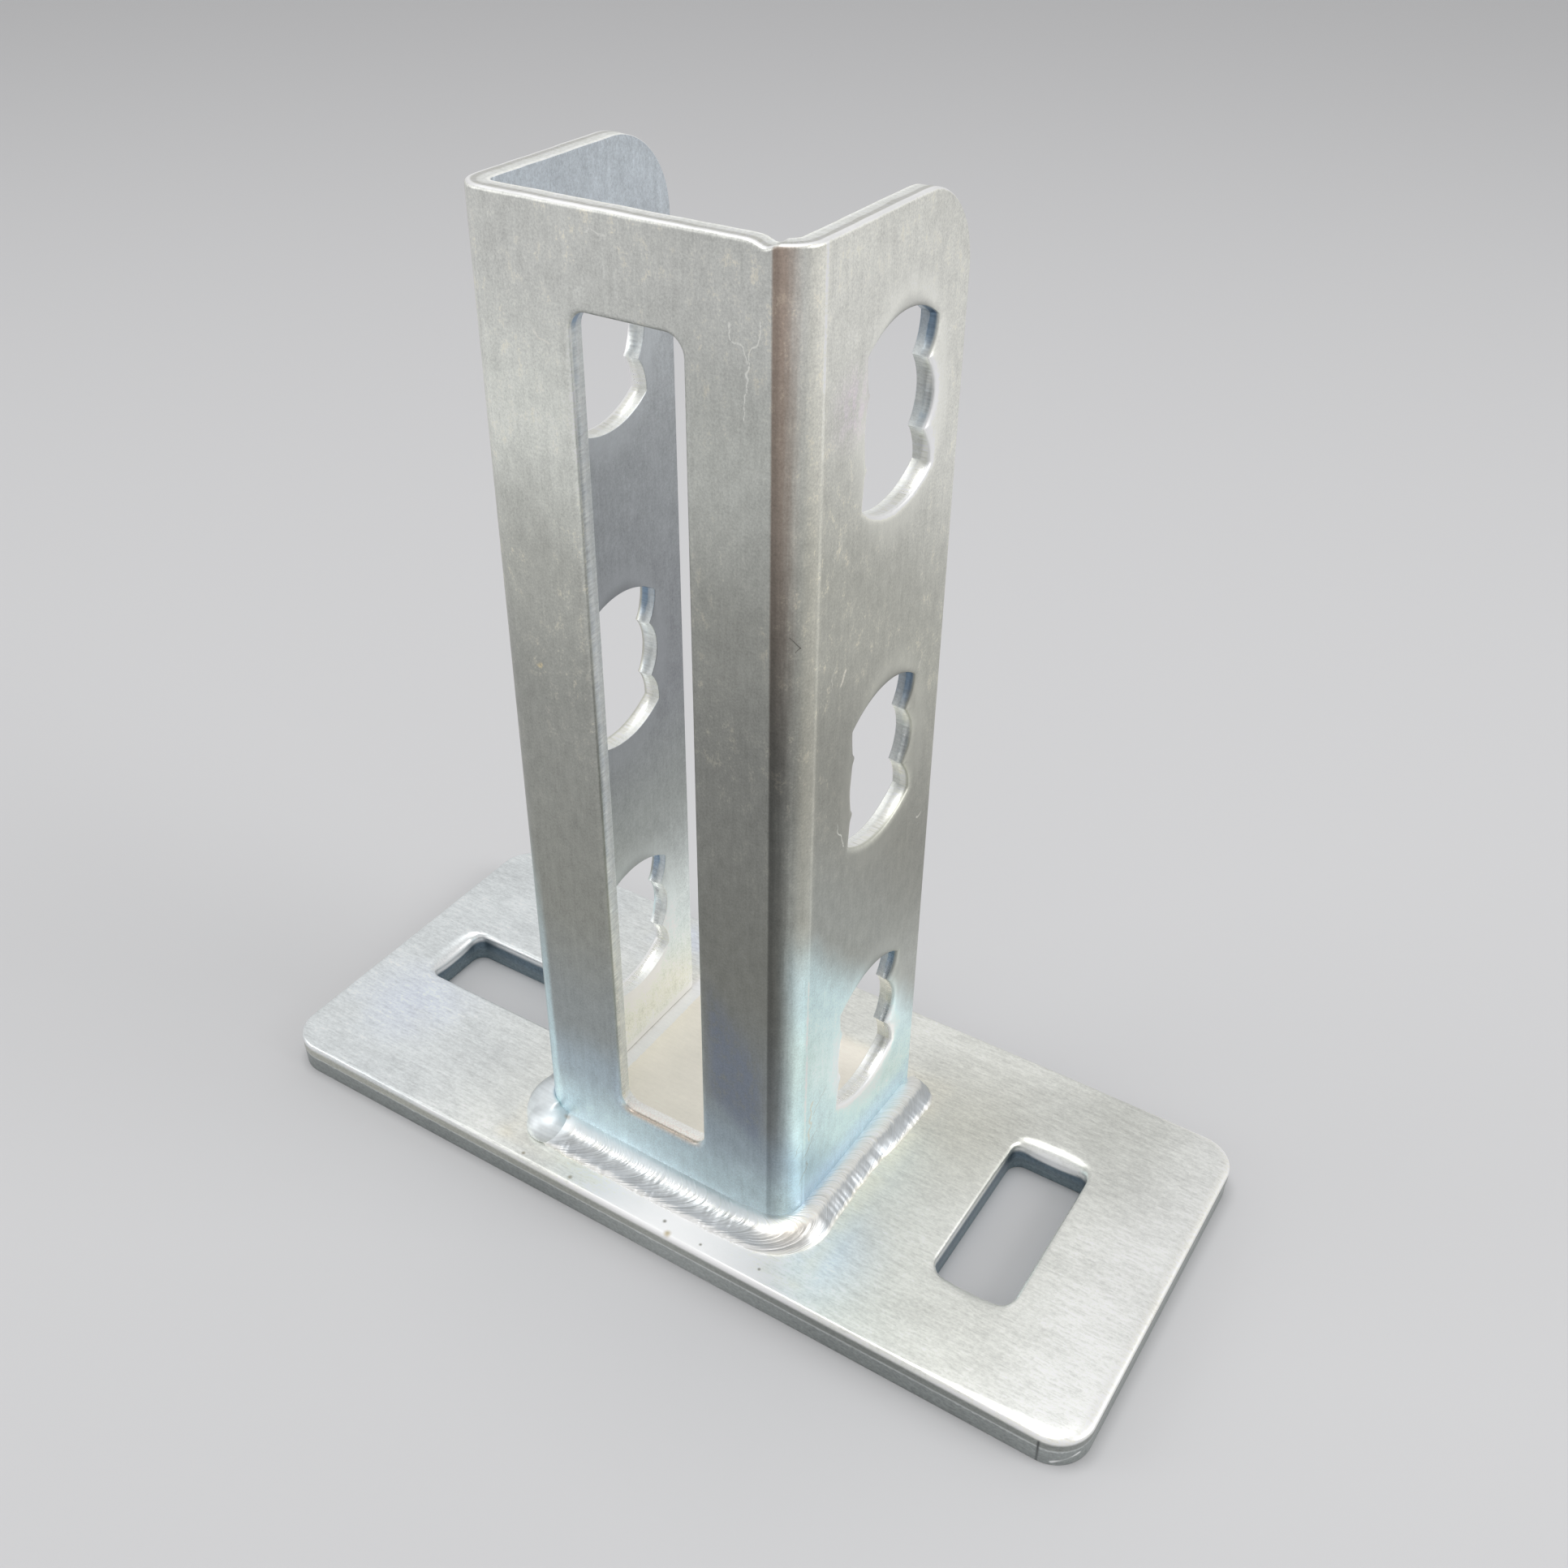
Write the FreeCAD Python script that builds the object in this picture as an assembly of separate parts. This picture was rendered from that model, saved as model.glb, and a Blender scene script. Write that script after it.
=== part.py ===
"""Steel post base for strut: a slotted base plate with a folded channel welded upright on it.

Millimetres, +Z up. The origin is the middle of the base plate's underside.
+X runs along the plate, and the channel's closed web faces -Y.
"""
import FreeCAD, Part
import math
import os

from FreeCAD import Vector

# The strut that slides into the channel
strut_width = 41.0
strut_clearance = 0.4

# Base plate, sheared from flat bar
plate_length = 150.0
plate_width = 65.0
plate_thickness = 6.0
plate_corner_radius = 6.0
plate_edge_roll = 0.7

# Bolt slots punched in the base plate, one along it at the left and one across it at the right
base_slot_width = 13.0
base_slot_length = 30.0
base_slot_corner_radius = 2.0
base_slot_from_end = 25.0
cross_slot_forward = 0.5

# The plate's top rolls over to each slot, and sinks deeper at the slot's two ends
base_roll_width = 0.8
base_roll_depth = 0.8
base_roll_steps = 3
end_dip_width = 3.0
end_dip_depth = 2.0
end_dip_steps = 4
end_dip_corner_radius = 4.0
end_dip_inset = 0.3

# Below the punch's clean cut the plate tears away, a little wider all round at the underside
base_tear_height = 2.4
base_tear_width = 0.4

# Channel, folded from one sheet
sheet = 3.0
bend_inner_radius = 1.3
channel_depth = 38.5
channel_length = 150.0
channel_from_front_edge = 10.2
channel_left_of_middle = 1.4
flange_corner_radius = 12.0
sheet_edge_roll = 0.5

# Long slot punched in the channel's web
web_slot_width = 16.0
web_slot_corner_radius = 2.5
web_slot_from_foot = 9.8
web_slot_from_head = 12.0
web_roll_width = 0.9
web_roll_depth = 0.7
web_roll_steps = 3

# Scalloped slots punched in both flanges: three bolt seats run together, one above the other
bolt_seat_radius = 6.75
bolt_seat_off_middle = 1.85
bolt_seat_pitch = 9.1
slot_end_beyond_seat = 3.3
slot_end_radius = 14.0
flange_slot_pitch = 50.0
flange_slot_from_free_edge = 15.5
flange_roll_width = 1.3
flange_roll_depth = 0.4
flange_roll_steps = 2

# Weld beads, laid in the corner between the channel and the plate
bead_convexity = 0.1
bead_root = 1.0
bead_tip_share = 0.2

# Front bead: along the web, round the right bend and along the right flange, where it dies away
front_bead_rise = 2.4
front_bead_reach = 5.6
front_bead_narrows_over = 6.0
bend_bead_rise = 3.5
bend_bead_reach = 4.3
tail_rise = 0.9
tail_reach = 5.6
tail_length = 2.2
tail_overrun = 1.6

# Left bead: along the left flange and round the left bend to a round blob
left_bead_rise = 3.2
left_bead_reach = 3.9
left_bead_start_gap = 1.5
end_blob_radius = 4.2
end_blob_height = 3.8
end_blob_off_bend = 2.2
end_blob_turn = 76.0

# Places that follow from the sizes above
inner_width = strut_width + strut_clearance
outer_width = inner_width + 2 * sheet
bend_outer_radius = bend_inner_radius + sheet
left_face_x = -channel_left_of_middle - outer_width / 2
right_face_x = left_face_x + outer_width
web_face_y = -plate_width / 2 + channel_from_front_edge
free_edge_y = web_face_y + channel_depth
foot_z = plate_thickness
head_z = foot_z + channel_length
left_bend = Vector(left_face_x + bend_outer_radius, web_face_y + bend_outer_radius, foot_z)
right_bend = Vector(right_face_x - bend_outer_radius, web_face_y + bend_outer_radius, foot_z)

LEFT = Vector(-1, 0, 0)
RIGHT = Vector(1, 0, 0)
FRONT = Vector(0, -1, 0)
BACK = Vector(0, 1, 0)
UP = Vector(0, 0, 1)
touching = 1e-4


def arc(start, middle, end):
    return Part.Arc(start, middle, end).toShape()


def circle_height(radius, offset):
    """How far a circle of this radius stands from its middle line, at an offset along that line."""
    return math.sqrt(radius ** 2 - offset ** 2)


def in_plane(edge, axis, place):
    """True for an edge that lies wholly in the plane X, Y or Z = place."""
    box = edge.BoundBox
    low = {"X": box.XMin, "Y": box.YMin, "Z": box.ZMin}[axis]
    high = {"X": box.XMax, "Y": box.YMax, "Z": box.ZMax}[axis]
    return abs(low - place) < touching and abs(high - place) < touching


def rounded_rectangle(half_length, half_width, radius):
    """A closed outline about the origin, long in X, with rounded corners."""

    def on_corner(centre, degrees):
        turn = math.radians(degrees)
        return centre + Vector(math.cos(turn), math.sin(turn), 0) * radius

    edges = []
    for quarter, (i, j) in enumerate(((1, 1), (-1, 1), (-1, -1), (1, -1))):
        centre = Vector(i * (half_length - radius), j * (half_width - radius), 0)
        start = on_corner(centre, 90 * quarter)
        end = on_corner(centre, 90 * quarter + 90)
        if edges:
            edges.append(Part.makeLine(edges[-1].Vertexes[-1].Point, start))
        edges.append(arc(start, on_corner(centre, 90 * quarter + 45), end))
    edges.append(Part.makeLine(end, edges[0].Vertexes[0].Point))
    return Part.Wire(edges)


def flare(outlines_and_depths):
    """A solid with straight-ruled sides through outlines, each at its own depth below z = 0."""
    rings = []
    for outline, depth in outlines_and_depths:
        outline.translate(UP * -depth)
        rings.append(outline)
    return Part.makeLoft(rings, True, True)


def roll_over(width, depth, steps):
    """The rounded dip where a punch enters a face, as (grow, depth) steps round a quarter of an ellipse."""
    turns = [math.radians(90 * step / steps) for step in range(steps + 1)]
    return [(width * (1 - math.sin(turn)), depth * (1 - math.cos(turn))) for turn in turns]


def punched_hole(outline, thickness, roll):
    """What a punch takes out from z = 0 down, where outline(grow) is the hole's outline, grown all round."""
    hole = Part.Face(outline(0)).extrude(UP * -thickness)
    return hole.fuse(flare([(outline(grow), depth) for grow, depth in roll]))


def placed(hole, middle, along, outward):
    """A hole turned so that it enters a face there, with its X along one way and its Z out of the face."""
    turn = FreeCAD.Rotation(along, outward.cross(along), outward, "XYZ")
    turned = hole.copy()
    turned.Placement = FreeCAD.Placement(middle, turn)
    return turned


def base_slot_hole():
    half_length = base_slot_length / 2
    half_width = base_slot_width / 2

    def outline(grow):
        return rounded_rectangle(half_length + grow, half_width + grow, base_slot_corner_radius + grow)

    def dip_outline(grow):
        return rounded_rectangle(half_length + grow, half_width - end_dip_inset, end_dip_corner_radius)

    rolled = roll_over(base_roll_width, base_roll_depth, base_roll_steps)
    hole = punched_hole(outline, plate_thickness, rolled)
    sunk = roll_over(end_dip_width, end_dip_depth, end_dip_steps)
    dip = flare([(dip_outline(grow), depth) for grow, depth in sunk])
    clean_cut_end = plate_thickness - base_tear_height
    tear = flare([(outline(0), clean_cut_end), (outline(base_tear_width), plate_thickness)])
    return hole.fuse([dip, tear])


def plate_block():
    block = Part.makeBox(plate_length, plate_width, plate_thickness)
    block.translate(Vector(-plate_length / 2, -plate_width / 2, 0))
    return block


def make_base_plate():
    plate = plate_block()
    corners = [e for e in plate.Edges if e.BoundBox.ZLength > plate_thickness / 2]
    plate = plate.makeFillet(plate_corner_radius, corners)
    top_rim = [e for e in plate.Edges if in_plane(e, "Z", plate_thickness)]
    plate = plate.makeFillet(plate_edge_roll, top_rim)
    hole = base_slot_hole()
    top_middle = UP * plate_thickness
    off_middle = plate_length / 2 - base_slot_from_end
    along_slot = placed(hole, top_middle + LEFT * off_middle, RIGHT, UP)
    across_slot = placed(hole, top_middle + RIGHT * off_middle + FRONT * cross_slot_forward, BACK, UP)
    return plate.cut([along_slot, across_slot])


def fold_block(inset):
    """All that lies behind the fold's outer face, or behind its inner face where the inset is one sheet."""
    low_corner = Vector(left_face_x + inset, web_face_y + inset, foot_z)
    block = Part.makeBox(outer_width - 2 * inset, channel_depth - inset, channel_length, low_corner)
    uprights = [e for e in block.Edges if e.BoundBox.ZLength > channel_length / 2]
    bends = [e for e in uprights if in_plane(e, "Y", low_corner.y)]
    return block.makeFillet(bend_outer_radius - inset, bends)


def flange_corner_cutter():
    """What the blanking tool takes off the upper free corner of both flanges."""
    radius = flange_corner_radius
    low_corner = Vector(left_face_x, free_edge_y - radius, head_z - radius)
    block = Part.makeBox(outer_width, radius, radius, low_corner)
    return block.cut(Part.makeCylinder(radius, outer_width, low_corner, RIGHT))


def outer_rim(channel):
    """The outer rim of the head and of both free edges, one run from foot to foot."""
    past_bend_y = web_face_y + bend_outer_radius + touching
    past_foot_z = foot_z + touching
    rim = []
    for edge in channel.Edges:
        middle = edge.CenterOfMass
        on_flange = in_plane(edge, "X", left_face_x) or in_plane(edge, "X", right_face_x)
        on_web = in_plane(edge, "Y", web_face_y)
        is_round = isinstance(edge.Curve, Part.Circle)
        on_bend = is_round and abs(edge.Curve.Radius - bend_outer_radius) < touching
        flange_rim = on_flange and middle.y > past_bend_y and middle.z > past_foot_z
        head_rim = in_plane(edge, "Z", head_z) and (on_web or on_bend)
        if flange_rim or head_rim:
            rim.append(edge)
    return rim


def web_slot():
    half_height = (channel_length - web_slot_from_foot - web_slot_from_head) / 2
    half_width = web_slot_width / 2

    def outline(grow):
        return rounded_rectangle(half_height + grow, half_width + grow, web_slot_corner_radius + grow)

    hole = punched_hole(outline, sheet, roll_over(web_roll_width, web_roll_depth, web_roll_steps))
    middle_x = (left_face_x + right_face_x) / 2
    return placed(hole, Vector(middle_x, web_face_y, foot_z + web_slot_from_foot + half_height), UP, FRONT)


def scalloped_outline(grow):
    """The bolt slot's outline about the origin, its height along X, grown all round by a distance.

    Each side is three arcs of the bolt's seat radius that meet in two points, and each end is one
    shallow arc that meets the outer seats in a sharp corner.
    """
    seat_radius = bolt_seat_radius + grow
    end_radius = slot_end_radius + grow
    seat_y = bolt_seat_off_middle
    half_height = bolt_seat_pitch + slot_end_beyond_seat
    point_x = bolt_seat_pitch / 2
    point_y = seat_y + circle_height(seat_radius, point_x)
    # the corner is where the end's circle crosses the outer seat's circle
    end_centre_x = half_height - slot_end_radius
    apart_x = bolt_seat_pitch - end_centre_x
    apart = math.hypot(seat_y, apart_x)
    along = (end_radius ** 2 - seat_radius ** 2 + apart ** 2) / (2 * apart)
    aside = circle_height(end_radius, along)
    corner_x = end_centre_x + (along * apart_x - aside * seat_y) / apart
    corner_y = (along * seat_y + aside * apart_x) / apart
    seat_middle_x = (corner_x + point_x) / 2
    seat_middle_y = seat_y + circle_height(seat_radius, seat_middle_x - bolt_seat_pitch)
    edges = []
    for turn in (1, -1):
        high_corner = Vector(turn * corner_x, turn * corner_y, 0)
        high_seat = Vector(turn * seat_middle_x, turn * seat_middle_y, 0)
        high_point = Vector(turn * point_x, turn * point_y, 0)
        middle_seat = Vector(0, turn * (seat_y + seat_radius), 0)
        low_point = Vector(-turn * point_x, turn * point_y, 0)
        low_seat = Vector(-turn * seat_middle_x, turn * seat_middle_y, 0)
        low_corner = Vector(-turn * corner_x, turn * corner_y, 0)
        low_end = Vector(-turn * (half_height + grow), 0, 0)
        next_corner = Vector(-turn * corner_x, -turn * corner_y, 0)
        edges.append(arc(high_corner, high_seat, high_point))
        edges.append(arc(high_point, middle_seat, low_point))
        edges.append(arc(low_point, low_seat, low_corner))
        edges.append(arc(low_corner, low_end, next_corner))
    return Part.Wire(edges)


def flange_slots():
    """As many rows as the channel's length has whole pitches, centred on it, with one slot in each flange."""
    rolled = roll_over(flange_roll_width, flange_roll_depth, flange_roll_steps)
    hole = punched_hole(scalloped_outline, sheet, rolled)
    rows = int(channel_length // flange_slot_pitch)
    first_z = foot_z + (channel_length - (rows - 1) * flange_slot_pitch) / 2
    y = free_edge_y - flange_slot_from_free_edge
    holes = []
    for row in range(rows):
        z = first_z + row * flange_slot_pitch
        holes.append(placed(hole, Vector(left_face_x, y, z), UP, LEFT))
        holes.append(placed(hole, Vector(right_face_x, y, z), UP, RIGHT))
    return holes


def make_channel():
    channel = fold_block(0).cut(fold_block(sheet))
    channel = channel.cut(flange_corner_cutter())
    channel = channel.makeFillet(sheet_edge_roll, outer_rim(channel))
    return channel.cut([web_slot()] + flange_slots())


def bead_section(rise, reach, toe, outward):
    """A bead's section: a bulging face from its toe on the channel to its toe on the plate, root behind.

    The root runs a little way into both pieces, as it does where they are melted together.
    """

    def spot(out, up):
        return toe + outward * out + UP * up

    crown = spot(reach / 2 + bead_convexity * rise, rise / 2 + bead_convexity * reach)
    return Part.Wire([
        arc(spot(0, rise), crown, spot(reach, 0)),
        Part.makeLine(spot(reach, 0), spot(reach, -bead_root)),
        Part.makeLine(spot(reach, -bead_root), spot(-bead_root, -bead_root)),
        Part.makeLine(spot(-bead_root, -bead_root), spot(-bead_root, rise)),
        Part.makeLine(spot(-bead_root, rise), spot(0, rise)),
    ])


def bead_run(*sections):
    return Part.makeLoft(list(sections), True, True)


def seated(bead, channel):
    """The bead with its root trimmed away, so that it meets the channel and the plate face to face."""
    return bead.cut([channel, plate_block()]).removeSplitter()


def make_left_bead(channel):
    """Runs forward along the left flange, turns round the bend and ends in a round blob of weld metal."""
    start_y = free_edge_y - left_bead_start_gap
    full_y = start_y - left_bead_reach

    def on_flange(size, y):
        toe = Vector(left_face_x, y, foot_z)
        return bead_section(left_bead_rise * size, left_bead_reach * size, toe, LEFT)

    at_bend = on_flange(1, left_bend.y)
    bead = bead_run(on_flange(bead_tip_share, start_y), on_flange(1, full_y), at_bend)
    bead = bead.fuse(Part.Face(at_bend).revolve(left_bend, UP, end_blob_turn))
    ball_radius = (end_blob_radius ** 2 + end_blob_height ** 2) / (2 * end_blob_height)
    ball_height = end_blob_height - ball_radius
    heading = math.radians(180 + end_blob_turn)
    out = bend_outer_radius + end_blob_off_bend
    blob_middle = left_bend + Vector(out * math.cos(heading), out * math.sin(heading), ball_height)
    bead = bead.fuse(Part.makeSphere(ball_radius, blob_middle))
    return seated(bead, channel), blob_middle


def make_front_bead(channel, left_bead, blob_middle):
    """Starts under the blob and runs along the web, round the right bend and along the right flange."""

    def on_web(rise, reach, x):
        return bead_section(rise, reach, Vector(x, web_face_y, foot_z), FRONT)

    def on_flange(rise, reach, y):
        return bead_section(rise, reach, Vector(right_face_x, y, foot_z), RIGHT)

    start = on_web(front_bead_rise, front_bead_reach, blob_middle.x)
    narrows = on_web(front_bead_rise, front_bead_reach, right_bend.x - front_bead_narrows_over)
    into_bend = on_web(bend_bead_rise, bend_bead_reach, right_bend.x)
    out_of_bend = on_flange(bend_bead_rise, bend_bead_reach, right_bend.y)
    tail = on_flange(tail_rise, tail_reach, free_edge_y - tail_length)
    tip = on_flange(tail_rise * bead_tip_share, tail_reach * bead_tip_share, free_edge_y + tail_overrun)
    bead = bead_run(start, narrows, into_bend)
    bead = bead.fuse(Part.Face(into_bend).revolve(right_bend, UP, 90))
    bead = bead.fuse(bead_run(out_of_bend, tail, tip))
    return seated(bead, channel).cut(left_bead)


os.makedirs("parts", exist_ok=True)
base_plate = make_base_plate()
channel = make_channel()
left_bead, blob_middle = make_left_bead(channel)
front_bead = make_front_bead(channel, left_bead, blob_middle)
pieces = {
    "base_plate": base_plate,
    "channel": channel,
    "front_weld_bead": front_bead,
    "left_weld_bead": left_bead,
}
for name, shape in pieces.items():
    shape.exportStep("parts/" + name + ".step")
    print(name, "valid", shape.isValid(), "solids", len(shape.Solids), "mm3", round(shape.Volume, 1))
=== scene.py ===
"""Looks of a welded steel post base for strut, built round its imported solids.

+Z up, in the solids' own frame. Sizes here are in millimetres, and the meshes are made in metres.
"""

import math

import bpy
import numpy as np
from mathutils import Matrix, Vector, noise
from mathutils.geometry import delaunay_2d_cdt


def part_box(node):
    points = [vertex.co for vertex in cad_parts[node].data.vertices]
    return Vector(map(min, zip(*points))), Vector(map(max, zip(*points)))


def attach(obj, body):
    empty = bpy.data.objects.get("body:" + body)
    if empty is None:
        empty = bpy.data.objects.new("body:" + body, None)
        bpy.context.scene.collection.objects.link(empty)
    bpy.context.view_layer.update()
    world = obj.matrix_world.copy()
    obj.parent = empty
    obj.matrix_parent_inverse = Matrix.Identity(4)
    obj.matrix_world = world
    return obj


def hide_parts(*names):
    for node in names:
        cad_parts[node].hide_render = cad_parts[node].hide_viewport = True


MM = 0.001
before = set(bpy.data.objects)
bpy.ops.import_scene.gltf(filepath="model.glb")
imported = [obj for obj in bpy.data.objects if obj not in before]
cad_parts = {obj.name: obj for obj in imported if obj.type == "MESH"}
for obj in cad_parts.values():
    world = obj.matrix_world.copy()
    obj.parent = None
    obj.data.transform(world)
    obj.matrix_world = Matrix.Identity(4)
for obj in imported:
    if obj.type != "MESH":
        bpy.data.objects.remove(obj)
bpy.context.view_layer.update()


# The camera stands where the photograph was taken from: in front and to the right of the fitting,
# looking down on it. Its place and turn were worked out from the fitting's straight edges.
camera_place = Vector((106.4, -161.5, 205.2)) * MM
camera_turn_left = 0.567  # in radians, as the next two are
camera_look_down = 0.616
camera_lean = 0.005
film_width = 36.0
focal_length_of_frame = 1.0287  # as a share of the film's width
shift_of_frame = (0.0120, 0.0029)
nearest_seen = 0.01

camera = bpy.data.objects.new("camera", bpy.data.cameras.new("camera"))
bpy.context.scene.collection.objects.link(camera)
camera.data.sensor_width = film_width
camera.data.lens = focal_length_of_frame * film_width
camera.data.shift_x, camera.data.shift_y = shift_of_frame
camera.data.clip_start = nearest_seen
camera.matrix_world = (
    Matrix.Translation(camera_place)
    @ Matrix.Rotation(camera_turn_left, 4, "Z")
    @ Matrix.Rotation(math.pi / 2 - camera_look_down, 4, "X")
    @ Matrix.Rotation(camera_lean, 4, "Z")
)
bpy.context.scene.camera = camera
bpy.context.scene.view_settings.view_transform = "Standard"


# Base plate: a length of flat bar, sheared off, its corners rounded and two slots punched in it from
# above. The punch drags the top down round each slot, cuts clean, then tears the steel out below.
def outline_through(arcs, step):
    """A closed outline through arcs, with straight runs between them and points about one step apart.

    Each arc is its centre, its radius, and the angles in degrees where it starts and ends.
    """
    parts = []
    for index, (centre, radius, start, end) in enumerate(arcs):
        count = max(1, math.ceil(abs(math.radians(end - start)) * radius / step))
        turn = np.radians(np.linspace(start, end, count + 1))
        arc = np.array(centre) + radius * np.stack([np.cos(turn), np.sin(turn)], 1)
        next_centre, next_radius, next_start, _ = arcs[(index + 1) % len(arcs)]
        turn = math.radians(next_start)
        run_end = np.array(next_centre) + next_radius * np.array([math.cos(turn), math.sin(turn)])
        run = run_end - arc[-1]
        count = round(float(np.linalg.norm(run)) / step)
        parts += [arc[:-1], arc[-1] + run * (np.arange(count) / max(count, 1))[:, None]]
    return np.concatenate(parts)


def rounded_rectangle(low, high, radii, step):
    """A closed outline that runs counter-clockwise from the upper right, with a radius for each corner."""
    sides = ((1, 1), (0, 1), (0, 0), (1, 0))
    arcs = []
    for quarter, ((right, top), radius) in enumerate(zip(sides, radii)):
        x = high[0] - radius if right else low[0] + radius
        y = high[1] - radius if top else low[1] + radius
        arcs.append(((x, y), radius, 90 * quarter, 90 * quarter + 90))
    return outline_through(arcs, step)


def out_of_metal(outline):
    """At each point, the way out of metal that lies on the outline's left, longer where it turns."""
    ahead = np.roll(outline, -1, 0) - outline
    ahead /= np.linalg.norm(ahead, axis=1)[:, None]
    both = ahead + np.roll(ahead, 1, 0)
    both = np.stack([both[:, 1], -both[:, 0]], 1)
    return 2 * both / (both ** 2).sum(1)[:, None]


def inside(outline, points):
    """True for each point that lies in a closed outline."""
    start, end = outline, np.roll(outline, -1, 0)
    x, y = points[:, :1], points[:, 1:]
    spans = (start[:, 1] > y) != (end[:, 1] > y)
    rise = end[:, 1] - start[:, 1]
    across = start[:, 0] + (y - start[:, 1]) * (end[:, 0] - start[:, 0]) / np.where(rise == 0, 1, rise)
    return (spans & (x < across)).sum(1) % 2 == 1


def patchy(points, size, seed):
    """Smooth noise from -1 to 1 at each point, with patches of about that size."""
    shift = Vector((seed * 17.3, seed * 5.1, seed * 9.7))
    spots = np.pad(np.asarray(points, float), ((0, 0), (0, 3 - points.shape[1]))) / size
    return np.array([noise.noise(Vector(spot) + shift) for spot in spots])


def mesh_piece(name, places, faces, crease_degrees=38):
    """An object with this mesh, smooth but for its creases. Its places are in millimetres."""
    mesh = bpy.data.meshes.new(name)
    mesh.from_pydata((np.asarray(places) * MM).tolist(), [], faces)
    mesh.shade_smooth()
    mesh.set_sharp_from_angle(angle=math.radians(crease_degrees))
    piece = bpy.data.objects.new(name, mesh)
    bpy.context.scene.collection.objects.link(piece)
    even = piece.modifiers.new("even shading", "WEIGHTED_NORMAL")
    even.keep_sharp = True
    return piece


def keep_trait(piece, name, values):
    layer = piece.data.attributes.new(name, "FLOAT", "POINT")
    layer.data.foreach_set("value", np.asarray(values, np.float32))


clear_of_rims = 0.5


def flat_faces(rings, spots):
    """Triangles over the metal between rings, the outer one first, through the spots clear of them."""
    near = np.concatenate(rings)
    batches = np.array_split(spots, 40)
    gaps = np.concatenate([np.linalg.norm(batch[:, None] - near, axis=2).min(1) for batch in batches])
    points = np.concatenate([near, spots[gaps > clear_of_rims]])
    edges, start = [], 0
    for ring in rings:
        count = len(ring)
        edges += [(start + i, start + (i + 1) % count) for i in range(count)]
        start += count
    triangles = delaunay_2d_cdt([Vector(point) for point in points], edges, [], 0, 1e-7)[2]
    triangles = np.array(triangles)
    middles = points[triangles].mean(1)
    solid = inside(rings[0], middles)
    for hole in rings[1:]:
        solid &= ~inside(hole, middles)
    return points[len(near):], triangles[solid]


def cut_blank(name, rims, spots, fold):
    """A flat blank cut out along its rims, the outer one first, then folded to its place.

    Each rim is an outline with the metal on its left, the way out of the metal at each point, and its
    edge's rows from the top face to the bottom one. A row says how far it is set back into the metal,
    its depth, and how much it shows of the cut and of torn steel. spots are further points on both
    faces. The mesh keeps each point's place on the flat blank, and how far its cut faces up the blank.
    """
    places, traits, faces = [], [], []
    first_rows, last_rows = [], []
    total = 0
    for outline, away, rows in rims:
        count = len(outline)
        here = np.arange(count)
        after = np.roll(here, -1)
        for set_back, depth, cut, torn in rows:
            flat = outline - away * np.reshape(set_back, (-1, 1))
            places.append(np.column_stack([flat, np.broadcast_to(depth, count)]))
            traits.append(np.column_stack([np.full(count, cut), np.full(count, torn), away[:, 1]]))
        for upper in range(total, total + (len(rows) - 1) * count, count):
            lower = upper + count
            faces += np.stack([upper + here, lower + here, lower + after, upper + after], 1).tolist()
        first_rows.append((places[-len(rows)], total + here))
        last_rows.append((places[-1], total + (len(rows) - 1) * count + here))
        total += len(rows) * count
    for rows, turn in ((first_rows, 1), (last_rows, -1)):
        added, triangles = flat_faces([row[:, :2] for row, _ in rows], spots)
        numbers = np.concatenate([number for _, number in rows] + [total + np.arange(len(added))])
        faces += numbers[triangles][:, ::turn].tolist()
        places.append(np.column_stack([added, np.full(len(added), rows[0][0][0, 2])]))
        traits.append(np.zeros((len(added), 3)))
        total += len(added)
    flat = np.concatenate(places)
    piece = mesh_piece(name, fold(flat), faces)
    for trait, values in zip(("cut", "torn", "faces_up"), np.concatenate(traits).T):
        keep_trait(piece, trait, values)
    layer = piece.data.attributes.new("flat", "FLOAT_VECTOR", "POINT")
    layer.data.foreach_set("vector", flat.astype(np.float32).ravel())
    return piece


def quarter_round(width, depth, steps=6):
    """Rows round a quarter of an ellipse, from a face down into a cut. The rolled edge's own share of
    the cut is one half at most."""
    turns = [math.pi / 2 * step / steps for step in range(steps + 1)]
    return [
        (width * (1 - math.sin(turn)), depth * (1 - math.cos(turn)), math.sin(turn) ** 2 / 2, 0)
        for turn in turns
    ]


def uneven_round(width, depth):
    """Rows of a rounded edge whose width and depth differ from point to point."""
    return [(width * back, depth * down, cut, 0) for back, down, cut, _ in quarter_round(1, 1, 8)]


def cut_rows(roll_depth, clean_depth, thickness, tear, outline, seed):
    """Rows of a cut below its rounded edge: a clean wall, then torn steel, uneven all along."""
    wander = patchy(outline, 2.5, seed) + 0.6 * patchy(outline, 0.7, seed + 1)
    rough = patchy(outline, 0.9, seed + 2)
    torn_from = clean_depth + 0.18 * wander
    left = thickness - clean_depth
    return [
        (0.01, (roll_depth + clean_depth) / 2, 1, 0),
        (0.0, torn_from, 1, 0),
        (tear * (0.4 + 0.08 * rough), torn_from + 0.12 * left, 1, 0.8),
        (tear * (0.75 + 0.12 * rough), clean_depth + 0.45 * left, 1, 1),
        (tear * (0.85 - 0.08 * rough), clean_depth + 0.75 * left, 1, 1),
        (tear * 0.9, thickness - 0.08, 1, 0.6),
        (tear + 0.08, thickness, 0, 0),
    ]


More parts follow.
